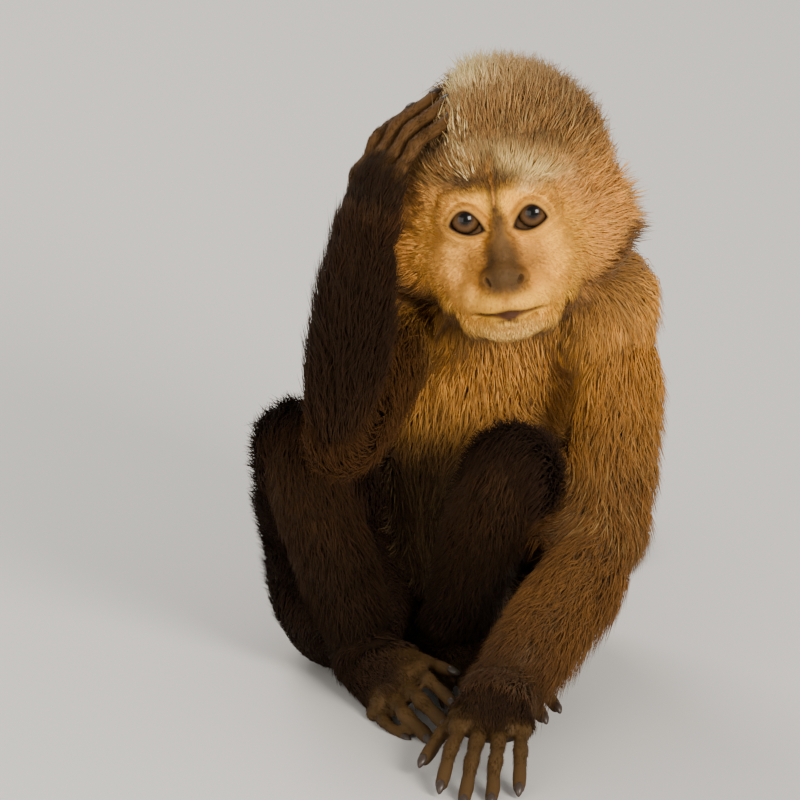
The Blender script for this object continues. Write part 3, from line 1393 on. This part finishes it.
@dataclass
class CoatMaker:
    """Lays strands over the skin and joins them into pieces."""

    skin: Skin
    marks: Markings
    total: int = 252_000
    most_triangles: int = 196_000
    short_is: float = 4.0  # the length under which a strand needs no bend
    patch: float = 0.003  # the size of a strand's own patch of the unwrap
    clump_of: int = 22
    clump_pull: tuple = (0.36, 0.18)  # mean and spread of how far a strand leans to its clump's leader
    clump_middle: float = 0.35  # the share of that pull on a strand's middle
    clump_tip: float = 0.8  # and on its tip
    turn_spread: float = 0.20  # of a strand's way from the lie of the coat
    bend_spread: float = 0.045  # of its middle sideways, as a share of its length
    length_range: tuple = (0.65, 1.25)
    width_range: tuple = (0.8, 1.25)
    rise_shape: tuple = (3.2, 1.5)  # of the spread of the tips' heights: most stand high
    rise_scale: float = 1.34
    rise_range: tuple = (0.15, 1.22)
    under_share: float = 0.24  # of the long hair that is the thicker, lower undercoat
    under_from: float = 7.0  # the length over which there is an undercoat
    under_wider: float = 1.5
    under_darker: float = 0.15
    white_wider: float = 0.5
    under_height: float = 0.62
    middle_height: float = 0.62  # of a strand's middle, as a share of its tip's
    most_droop: float = 8.0  # of the fringe's tips
    middle_droop: float = 0.3  # of a strand's middle, as a share of its tip's
    own_tint: float = 0.12
    clump_tint: float = 0.10
    white_share: float = 0.20  # of the strands in the white streaks
    root_depth: float = 0.25  # of the roots in the skin
    taper: tuple = (0.85, 1.05, 0.0)  # of the width at root, middle and tip
    flatness: float = 0.6
    long_shade: tuple = (0.56, 0.93, 1.34)  # of the colour at root, middle and tip
    short_shade: tuple = (0.85, 1.0, 1.12)
    frost_shade: tuple = (0.0, 0.35, 1.0)
    frosted_share: float = 0.22  # of the strands with a strongly pale tip
    frosted: tuple = (0.4, 1.0)  # how pale the tips of those are
    plain: tuple = (0.0, 0.15)  # and of the others

    def __post_init__(self) -> None:
        """Reads the skin's triangles."""
        mesh = self.skin.piece.data
        mesh.calc_loop_triangles()
        count = len(mesh.loop_triangles)
        self.corners = np.empty(count * 3, np.int64)
        mesh.loop_triangles.foreach_get("vertices", self.corners)
        self.corners = self.corners.reshape(-1, 3)
        loops = np.empty(count * 3, np.int64)
        mesh.loop_triangles.foreach_get("loops", loops)
        flat = np.empty(len(mesh.loops) * 2)
        mesh.uv_layers["OFBake"].data.foreach_get("uv", flat)
        self.corner_uv = flat.reshape(-1, 2)[loops].reshape(-1, 3, 2)
        self.points = self.marks.points
        rows = self.points[self.corners]
        cross = np.cross(rows[:, 1] - rows[:, 0], rows[:, 2] - rows[:, 0])
        self.area = np.linalg.norm(cross, axis=1) / 2
        self.tree = BVHTree.FromPolygons(self.points.tolist(), self.corners.tolist())
        self.random = np.random.default_rng(SEED)
        self.parts = np.array([self.part_of(name) for name in self.marks.owners])

    def part_of(self, node: str) -> str:
        """The name of the coat's piece over a node."""
        region = region_of(node)
        if region in (Region.HEAD, Region.EAR):
            return "head"
        if region in (Region.NECK, Region.TRUNK):
            return "trunk"
        if region is Region.TAIL:
            return "tail"
        limb = "arm" if region in (Region.UPPER_ARM, Region.FOREARM, Region.HAND) else "leg"
        if region in (Region.HAND, Region.FOOT):
            return f"{region.value}_{node.split('_')[1]}"
        return f"{limb}_{node[-1]}"

    def build(self) -> list[bpy.types.Object]:
        """Makes every piece of the coat."""
        chance = self.area * self.marks.closeness[self.corners].mean(axis=1)
        faces = self.random.choice(len(chance), self.total, p=chance / chance.sum())
        faces.sort()
        shares = self.random.dirichlet((1.0, 1.0, 1.0), self.total)
        strands = self.comb(faces, shares)
        keep = self.clear_of_digits(strands)
        log.info("coat: %d strands, %d kept", self.total, int(keep.sum()))
        part = self.parts[self.corners[faces, 0]]
        straight = strands["length"] < self.short_is
        pieces = []
        for pattern, chosen, kind in ((Strand(True), ~straight, "coat"), (Strand(False), straight, "down")):
            most = self.most_triangles // len(pattern.faces)
            for name in sorted(set(part)):
                rows = np.flatnonzero(keep & chosen & (part == name))
                lots = max(1, math.ceil(len(rows) / most))
                if lots > 1:
                    rows = rows[np.argsort(strands["points"][rows, 0, 2], kind="stable")]
                for lot, mine in enumerate(np.array_split(rows, lots)):
                    if len(mine):
                        title = f"{kind}_{name}" + (f"_{lot + 1}" if lots > 1 else "")
                        own = {key: value[mine] for key, value in strands.items()}
                        pieces.append(self.weave(title, pattern, own))
        return pieces

    def at(self, values: np.ndarray, faces: np.ndarray, shares: np.ndarray) -> np.ndarray:
        """A point value between the corners of faces."""
        rows = values[self.corners[faces]]
        if rows.ndim == 2:
            return np.sum(rows * shares, axis=1)
        return np.sum(rows * shares[:, :, None], axis=1)

    def snap(self, places: np.ndarray) -> tuple[np.ndarray, np.ndarray, np.ndarray]:
        """The nearest place on the skin to each point, its normal and its face."""
        spots = np.empty((len(places), 3))
        faces = np.empty(len(places), np.int64)
        find = self.tree.find_nearest
        for i, place in enumerate(places.tolist()):
            spot, _, face, _ = find(place)
            spots[i] = spot
            faces[i] = face
        return spots, unit(self.marks.normals[self.corners[faces]].mean(axis=1)), faces

    def comb(self, faces: np.ndarray, shares: np.ndarray) -> dict[str, np.ndarray]:
        """Works out root, middle and tip of every strand.

        Args:
            faces: The skin face that each strand grows from.
            shares: Where in the face.

        Returns:
            Points, sideways and upward directions, widths, colours and places on the unwrap.
        """
        marks, count, random = self.marks, len(faces), self.random

        def here(values: np.ndarray) -> np.ndarray:
            """A point value at the strands' roots."""
            return self.at(values, faces, shares)

        root = here(self.points)
        normal = unit(here(marks.normals))
        flow = unit(here(marks.flow))
        side = np.cross(flow, normal)
        short = here(marks.short)
        jitter = random.normal(0.0, self.turn_spread, count)[:, None]
        flow = unit(flow + side * jitter)
        length = here(marks.length) * random.uniform(*self.length_range, count)
        under = (random.random(count) < self.under_share) & (length > self.under_from)
        stand = np.clip(random.beta(*self.rise_shape, count) * self.rise_scale, *self.rise_range)
        rise = here(marks.height) * stand
        rise = np.where(under, rise * self.under_height, rise)
        half_way = (length * 0.5 * MM)[:, None]
        middle, normal_1, face_1 = self.snap(root + flow * half_way)
        flow_1 = unit(marks.flow[self.corners[face_1]].mean(axis=1) + 0.5 * flow + side * jitter)
        tip, normal_2, _ = self.snap(middle + flow_1 * half_way)
        middle = middle + normal_1 * (rise * self.middle_height * MM)[:, None]
        tip = tip + normal_2 * (rise * MM)[:, None]
        droop = here(marks.fringe) * random.uniform(0.0, self.most_droop, count) * MM
        middle[:, 2] -= droop * self.middle_droop
        tip[:, 2] -= droop
        leaders = random.choice(count, count // self.clump_of, replace=False)
        own = leaders[self.nearest_of(root[leaders], root)]
        near = np.linalg.norm(root - root[own], axis=1) < 0.5 * length * MM
        pull = np.clip(random.normal(*self.clump_pull, count), 0.0, 0.9) * (1 - short) * near
        middle += (middle[own] - middle) * (pull * self.clump_middle)[:, None]
        tip += (tip[own] - tip) * (pull * self.clump_tip)[:, None]
        bend = random.normal(0.0, self.bend_spread, count) * length * MM
        middle += np.cross(tip - root, normal_1) / np.maximum(length[:, None] * MM, 1e-6) * bend[:, None]
        for rows in (middle, tip):
            rows[:, 2] = np.maximum(rows[:, 2], FLOOR_GAP * 2)
        own_tint = random.normal(0.0, self.own_tint, count)
        clump_tint = random.normal(0.0, self.clump_tint, len(leaders))
        tint = own_tint + clump_tint[np.searchsorted(np.sort(leaders), own)] * (1 - short)
        colour = here(marks.colour) * np.exp(tint - 0.02)[:, None]
        streaks = here(marks.streaks)
        white = random.random(count) < self.white_share * streaks
        colour[white] = marks.palette.crown_white
        streaky = random.random(count) < self.frosted_share + 0.15 * streaks
        frosted, plain = random.uniform(*self.frosted, count), random.uniform(*self.plain, count)
        frost = np.where(streaky, frosted, plain)
        width = here(marks.width) * random.uniform(*self.width_range, count)
        return {
            "points": np.stack([root - normal * (self.root_depth * MM), middle, tip], axis=1),
            "up": np.stack([normal, normal_1, normal_2], axis=1),
            "width": width * (1.0 + self.under_wider * under + self.white_wider * white),
            "colour": colour * (1.0 - self.under_darker * under)[:, None],
            "short": short,
            "length": length,
            "frost": frost * here(marks.frost),
            "uv": np.sum(self.corner_uv[faces] * shares[:, :, None], axis=1),
        }

    @staticmethod
    def nearest_of(places: np.ndarray, points: np.ndarray) -> list[int]:
        """Which of the places is nearest to each point."""
        tree = KDTree(len(places))
        for i, place in enumerate(places):
            tree.insert(place, i)
        tree.balance()
        return [tree.find(point)[1] for point in points.tolist()]

    def clear_of_digits(self, strands: dict[str, np.ndarray]) -> np.ndarray:
        """Tells which strands don't run through a finger or toe, or over an eye."""
        points = strands["points"]
        keep = np.ones(len(points), bool)
        for part in self.skin.anatomy.extremities.values():
            for digit in part.digits:
                line = [np.array(point) for point in digit.line]
                for start, end in zip(line, line[1:]):
                    root, middle, tip = (from_segment(points[:, row], start, end)[0] for row in range(3))
                    clear = np.minimum(middle, tip) > (digit.radius + 0.4 * MM)
                    keep &= clear | (root < digit.radius * 2.0)
        head = self.skin.anatomy.head
        for row in (1, 2):
            x, y, z = head.local(points[:, row]).T
            lid = self.skin.opening.distance(np.abs(x) - self.skin.head.eye_apart, z - head.eye_raise)
            keep &= (lid > 0.1) | (y > 0)
        return keep

    def weave(self, name: str, pattern: Strand, strands: dict[str, np.ndarray]) -> bpy.types.Object:
        """Joins copies of the strand into one piece with colours and the bake's map.

        Args:
            name: The piece's name.
            pattern: The strand that is copied.
            strands: Values from comb, for this piece's strands.

        Returns:
            The finished object.
        """
        points, count = strands["points"], len(strands["points"])
        size, level = len(pattern.level), pattern.level
        root, middle, tip = (points[:, row] for row in range(3))
        ahead = unit(np.stack([middle - root, tip - root, tip - middle], axis=1))
        across = unit(np.cross(ahead, strands["up"]))
        raised = np.cross(across, ahead)
        half = strands["width"][:, None] * np.array(self.taper)[None] * MM / 2
        place = points[:, level]
        place = place + across[:, level] * (half[:, level] * pattern.cos)[:, :, None]
        place = place + raised[:, level] * (half[:, level] * pattern.sin * self.flatness)[:, :, None]
        mesh = bpy.data.meshes.new(name)
        triangles = (pattern.faces[None] + (np.arange(count) * size)[:, None, None]).reshape(-1, 3)
        mesh.vertices.add(count * size)
        mesh.vertices.foreach_set("co", place.reshape(-1))
        mesh.loops.add(len(triangles) * 3)
        mesh.loops.foreach_set("vertex_index", triangles.reshape(-1).astype(np.int32))
        mesh.polygons.add(len(triangles))
        mesh.polygons.foreach_set("loop_start", np.arange(0, len(triangles) * 3, 3, dtype=np.int32))
        mesh.update(calc_edges=True)
        mesh.shade_smooth()
        self.colour_piece(mesh, strands, level)
        self.unwrap_piece(mesh, pattern, strands["uv"])
        return link(name, mesh)

    def colour_piece(self, mesh: bpy.types.Mesh, strands: dict[str, np.ndarray], level: np.ndarray) -> None:
        """Stores each strand's colour, darker at the root and paler at the tip."""
        short, base = strands["short"][:, None, None], strands["colour"][:, None, :]
        long_shade, short_shade, frost_shade = (
            np.array(shade)[None, :, None] for shade in (self.long_shade, self.short_shade, self.frost_shade)
        )
        rows = base * (long_shade * (1 - short) + short_shade * short)
        frost = strands["frost"][:, None, None] * frost_shade
        rows = rows * (1 - frost) + np.array(self.marks.palette.brow_pale)[None, None, :] * frost
        rows = np.clip(rows, 0.001, 1.0)[:, level]
        store_tint(mesh, rows.reshape(-1, 3))

    def unwrap_piece(self, mesh: bpy.types.Mesh, pattern: Strand, home: np.ndarray) -> None:
        """Gives each strand its own small patch of the unwrap, at the place of its root."""
        local = np.stack([pattern.cos * (pattern.level < 2), pattern.level - 1.0], axis=1) * self.patch / 2
        rows = home[:, None, :] + local[None]
        per_loop = rows[:, pattern.faces.reshape(-1)]
        layer = mesh.uv_layers.new(name="OFBake")
        layer.data.foreach_set("uv", np.clip(per_loop, 0.0, 1.0).reshape(-1).astype(np.float32))


# ---------------------------------------------------------------- eyes and claws
@dataclass
class Eyeball:
    """One eye: a ball with a bulging cornea, whose map gives the place from the middle of the iris."""

    axes: HeadAxes
    side: int
    apart: float
    radius: float
    gaze_up: float = 12.2  # degrees
    gaze_aside: float = 3.8
    cornea_angle: float = 38.0
    cornea_rise: float = 0.75

    def build(self) -> bpy.types.Object:
        """Makes the eye's ball and its map."""
        bm = bmesh.new()
        bmesh.ops.create_uvsphere(bm, u_segments=64, v_segments=48, radius=1.0)
        edge = math.radians(self.cornea_angle)
        look = {}
        for vert in bm.verts:
            angle = math.acos(max(-1.0, min(1.0, vert.co.z)))
            rise = self.cornea_rise * max(0.0, 1.0 - (angle / edge) ** 2) ** 1.5
            across = Vector((vert.co.x, vert.co.y)).normalized() * angle / math.pi
            look[vert.index] = (0.5 + across.x * 0.98, 0.5 + across.y * 0.98)
            vert.co *= self.radius + rise
        layer = bm.loops.layers.uv.new("look")
        for face in bm.faces:
            for loop in face.loops:
                loop[layer].uv = look[loop.vert.index]
        turn = turned(self.gaze_aside, "Z") @ turned(90.0 - self.gaze_up, "X")
        size = Matrix.Diagonal((MM, MM, MM, 1.0))
        place = self.axes.matrix(self.side * self.apart, 0.0, self.axes.eye_raise)
        bmesh.ops.transform(bm, matrix=place @ turn @ size, verts=bm.verts)
        name = "eyeball_l" if self.side > 0 else "eyeball_r"
        return object_from(name, bm)


@dataclass
class Claws:
    """The narrow nails of one hand or foot."""

    shape: Extremity

    def build(self) -> bpy.types.Object:
        """Makes one curved nail on the back of each digit's tip."""
        bm = bmesh.new()
        skin = ExtremitySkin(self.shape)
        for digit in self.shape.digits:
            rings = skin.digit_rings(digit)
            tip, before = rings[-1], rings[-4]
            ahead = (tip.middle - before.middle).normalized()
            up = (digit.up - ahead * digit.up.dot(ahead)).normalized()
            middle = tip.middle + (ahead * 0.62 + up * 0.42) * tip.across
            turn = Matrix((ahead.cross(up), ahead, up)).transposed().to_4x4()
            size = Matrix.Diagonal((tip.across * 0.72, tip.across * 1.25, tip.across * 0.5, 1.0))
            place = Matrix.Translation(middle) @ turn @ turned(-16.0, "X") @ size
            made = bmesh.ops.create_uvsphere(bm, u_segments=14, v_segments=10, radius=1.0)
            for vert in made["verts"]:
                if vert.co.y > 0:
                    vert.co.x *= 1.0 - 0.35 * vert.co.y
                    vert.co.z -= 0.35 * vert.co.y**2
            bmesh.ops.transform(bm, matrix=place, verts=made["verts"])
        for vert in bm.verts:
            vert.co.z = max(vert.co.z, FLOOR_GAP)
        return object_from(f"claws_{self.shape.name}", bm)


# ---------------------------------------------------------------- finishes
def math_node(tree: bpy.types.NodeTree, kind: str, operation: str, *inputs: object) -> bpy.types.Node:
    """Adds a math node.

    Args:
        tree: The material's nodes.
        kind: The node's type.
        operation: What it works out.
        inputs: A socket to link, or a number to set, for each input in order.

    Returns:
        The node.
    """
    node = tree.nodes.new(kind)
    node.operation = operation
    for socket, value in zip(node.inputs, inputs):
        if isinstance(value, bpy.types.NodeSocket):
            tree.links.new(value, socket)
        else:
            socket.default_value = value
    return node


@dataclass(frozen=True)
class Finish:
    """A material made of plain numbers on its shader's sockets."""

    name: str
    sockets: tuple

    def material(self) -> bpy.types.Material:
        """Makes the material."""
        material = bpy.data.materials.new(self.name)
        material.use_nodes = True
        shader = material.node_tree.nodes["Principled BSDF"]
        for socket, value in self.sockets:
            shader.inputs[socket].default_value = value
        self.dress(material.node_tree, shader)
        return material

    def dress(self, tree: bpy.types.NodeTree, shader: bpy.types.Node) -> None:
        """Adds the nodes that the finish needs: none for a plain one."""


@dataclass(frozen=True)
class Tinted(Finish):
    """A finish that takes its colour from the piece's own points."""

    def dress(self, tree: bpy.types.NodeTree, shader: bpy.types.Node) -> None:
        """Reads the colour."""
        tint = tree.nodes.new("ShaderNodeAttribute")
        tint.attribute_name = "tint"
        tree.links.new(tint.outputs["Color"], shader.inputs["Base Color"])


@dataclass(frozen=True)
class Pored(Tinted):
    """A tinted finish with pores and fine creases."""

    scale: float = 900.0
    detail: float = 4.0
    strength: float = 0.35
    depth: float = 0.0004

    def dress(self, tree: bpy.types.NodeTree, shader: bpy.types.Node) -> None:
        """Adds the relief to the colour."""
        super().dress(tree, shader)
        place = tree.nodes.new("ShaderNodeTexCoord")
        grain = tree.nodes.new("ShaderNodeTexNoise")
        grain.inputs["Scale"].default_value = self.scale
        grain.inputs["Detail"].default_value = self.detail
        tree.links.new(place.outputs["Object"], grain.inputs["Vector"])
        bump = tree.nodes.new("ShaderNodeBump")
        bump.inputs["Strength"].default_value = self.strength
        bump.inputs["Distance"].default_value = self.depth
        tree.links.new(grain.outputs["Fac"], bump.inputs["Height"])
        tree.links.new(bump.outputs["Normal"], shader.inputs["Normal"])


@dataclass(frozen=True)
class Iris(Finish):
    """Pupil, brown iris with fine rays, dark rim and dim white, by their place on the eye's map."""

    rays_scale: float = 7.0
    rays_detail: float = 3.0
    rays_swing: float = 0.028  # how far the rays move the rings
    stops: tuple = (
        (0.000, (0.002, 0.0015, 0.001)),
        (0.064, (0.002, 0.0015, 0.001)),
        (0.078, (0.026, 0.011, 0.004)),
        (0.125, (0.090, 0.042, 0.012)),
        (0.168, (0.060, 0.027, 0.008)),
        (0.196, (0.007, 0.004, 0.002)),
        (0.212, (0.010, 0.006, 0.004)),
        (0.235, (0.075, 0.040, 0.018)),
        (0.300, (0.13, 0.075, 0.038)),
    )

    def dress(self, tree: bpy.types.NodeTree, shader: bpy.types.Node) -> None:
        """Paints the rings by the distance from the map's middle, moved a little by the rays."""
        look = tree.nodes.new("ShaderNodeUVMap")
        look.uv_map = "look"
        vector, number = "ShaderNodeVectorMath", "ShaderNodeMath"
        centre = math_node(tree, vector, "SUBTRACT", look.outputs["UV"], (0.5, 0.5, 0.0)).outputs["Vector"]
        reach = math_node(tree, vector, "LENGTH", centre).outputs["Value"]
        along = math_node(tree, vector, "NORMALIZE", centre).outputs["Vector"]
        rays = tree.nodes.new("ShaderNodeTexNoise")
        rays.inputs["Scale"].default_value = self.rays_scale
        rays.inputs["Detail"].default_value = self.rays_detail
        tree.links.new(along, rays.inputs["Vector"])
        swing = (rays.outputs["Fac"], self.rays_swing, -self.rays_swing / 2)
        wave = math_node(tree, number, "MULTIPLY_ADD", *swing).outputs["Value"]
        ramp = tree.nodes.new("ShaderNodeValToRGB")
        points = ramp.color_ramp.elements
        while len(points) < len(self.stops):
            points.new(1.0)
        for point, (place, colour) in zip(points, self.stops):
            point.position = place
            point.color = (*colour, 1.0)
        tree.links.new(math_node(tree, number, "ADD", reach, wave).outputs["Value"], ramp.inputs["Fac"])
        tree.links.new(ramp.outputs["Color"], shader.inputs["Base Color"])


ANY_HAIR = (("Roughness", 0.66), ("Sheen Roughness", 0.5), ("Sheen Tint", (1.0, 0.72, 0.42, 1.0)))
PALE_HAIR = Tinted("pale_hair", (*ANY_HAIR, ("Sheen Weight", 0.14), ("Specular IOR Level", 0.18)))
DARK_HAIR = Tinted("dark_hair", (*ANY_HAIR, ("Sheen Weight", 0.02), ("Specular IOR Level", 0.10)))
HIDE = Pored("skin", (("Roughness", 0.68), ("Specular IOR Level", 0.2)))
GLOSS = (("Coat Weight", 0.45), ("Coat Roughness", 0.02), ("Coat IOR", 1.36))
WET = Iris("eye", (("Roughness", 0.2), ("Specular IOR Level", 0.1), *GLOSS))
HORN = Finish("claw", (("Base Color", (0.032, 0.019, 0.012, 1.0)), ("Roughness", 0.42)))
PAPER = Finish("floor", (("Base Color", (0.80, 0.79, 0.77, 1.0)),))


def place_on_root(piece: bpy.types.Object, material: bpy.types.Material, slot: str, *nodes: str) -> None:
    """Gives a piece its material, its body and its slot.

    Args:
        piece: The finished piece.
        material: Its only material.
        slot: The frame's material slot that it belongs to.
        nodes: The frame's nodes that it stands for.
    """
    piece.data.materials.clear()
    piece.data.materials.append(material)
    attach(piece, "root")
    if nodes:
        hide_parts(*nodes)


# ---------------------------------------------------------------- studio
@dataclass(frozen=True)
class Lamp:
    """A square light that looks at the animal."""

    name: str
    place: tuple[float, float, float]
    energy: float
    size: float
    colour: tuple[float, float, float] = (1.0, 0.93, 0.84)
    aim: tuple[float, float, float] = (0.0, 0.0, 0.12)

    def build(self) -> None:
        """Hangs the light."""
        data = bpy.data.lights.new(self.name, "AREA")
        data.energy, data.size, data.color = self.energy, self.size, self.colour
        lamp = bpy.data.objects.new(self.name, data)
        lamp.location = Vector(self.place)
        lamp.rotation_euler = (Vector(self.aim) - lamp.location).to_track_quat("-Z", "Y").to_euler()
        bpy.context.scene.collection.objects.link(lamp)


@dataclass(frozen=True)
class Studio:
    """The floor, the lights and the camera, in metres."""

    elevation: float = 18.0  # of the camera, degrees
    distance: float = 8.0
    span: float = 0.308  # how much the view shows across
    aim: tuple = (-0.0211, -0.024, 0.0)
    aim_rise: float = 0.0982  # from there to the view's middle, along the view's own upright
    sensor: float = 36.0
    clip_end: float = 30.0
    floor_size: float = 3.0
    sky: tuple = (1.0, 0.97, 0.93, 1.0)
    sky_strength: float = 0.55
    lamps: tuple = (
        Lamp("key", (0.9, -1.65, 0.85), 46.0, 0.6),
        Lamp("fill", (-0.9, -1.6, 0.3), 17.0, 1.2),
        Lamp("rim", (-0.55, 1.0, 1.3), 14.0, 0.6),
    )

    def build(self, level: float) -> None:
        """Sets up the studio.

        Args:
            level: The floor's height.
        """
        self.add_camera()
        for lamp in self.lamps:
            lamp.build()
        world = bpy.data.worlds.new("studio")
        world.use_nodes = True
        background = world.node_tree.nodes["Background"]
        background.inputs["Color"].default_value = self.sky
        background.inputs["Strength"].default_value = self.sky_strength
        bpy.context.scene.world = world
        bm = bmesh.new()
        lift = Matrix.Translation((0, 0, level))
        bmesh.ops.create_grid(bm, x_segments=1, y_segments=1, size=self.floor_size, matrix=lift)
        floor = object_from("floor", bm)
        floor.data.materials.append(PAPER.material())

    def add_camera(self) -> None:
        """Sets the camera."""
        elevation = math.radians(self.elevation)
        ahead = Vector((0.0, math.cos(elevation), -math.sin(elevation)))
        above = Vector((0.0, math.sin(elevation), math.cos(elevation)))
        camera = bpy.data.objects.new("camera", bpy.data.cameras.new("camera"))
        bpy.context.scene.collection.objects.link(camera)
        camera.location = Vector(self.aim) + above * self.aim_rise - ahead * self.distance
        camera.rotation_euler = ahead.to_track_quat("-Z", "Y").to_euler()
        camera.data.sensor_width = self.sensor
        camera.data.lens = self.sensor * self.distance / self.span
        camera.data.clip_end = self.clip_end
        bpy.context.scene.camera = camera


def dress_coat(coat: list[bpy.types.Object]) -> None:
    """Gives the coat's pieces their two finishes and their slots."""
    pale, dark = PALE_HAIR.material(), DARK_HAIR.material()
    slots = {
        "head": "face_coat",
        "trunk": "gold_coat",
        "arm": "gold_coat",
        "hand": "bare_skin",
        "foot": "bare_skin",
    }
    for piece in coat:
        place = piece.name.split("_", 1)[1]
        material = pale if place.startswith(("head", "trunk", "arm_l")) else dark
        place_on_root(piece, material, slots.get(place.split("_")[0], "dark_coat"))
        log.info("%s: %d triangles", piece.name, len(piece.data.polygons))


def main() -> None:
    """Builds the monkey and its studio."""
    logging.basicConfig(level=logging.INFO, format="%(message)s")
    anatomy = Anatomy()
    started = time.perf_counter()
    skin = Skin(anatomy)
    log.info("skin at %.1f s", time.perf_counter() - started)
    skin.unwrap()
    log.info("unwrapped at %.1f s", time.perf_counter() - started)
    marks = Markings(skin)
    skin.carry(marks.colour)
    log.info("marked at %.1f s", time.perf_counter() - started)
    coat = CoatMaker(skin, marks).build()
    log.info("coat at %.1f s", time.perf_counter() - started)
    dress_coat(coat)
    log.info("coat triangles: %d", sum(len(piece.data.polygons) for piece in coat))
    wet, horn = WET.material(), HORN.material()
    for side, node in ((1, "eye_l"), (-1, "eye_r")):
        eye = Eyeball(anatomy.head, side, skin.head.eye_apart, skin.head.eye_radius).build()
        place_on_root(eye, wet, "eye", node)
        log.info("%s: %d faces", eye.name, len(eye.data.polygons))
    for name in EXTREMITIES:
        claws = Claws(anatomy.extremities[name]).build()
        place_on_root(claws, horn, "bare_skin")
        log.info("%s: %d faces", claws.name, len(claws.data.polygons))
    place_on_root(skin.piece, HIDE.material(), "dark_coat", *FLESH)
    Studio().build(anatomy.floor)


if __name__ == "__main__":
    main()
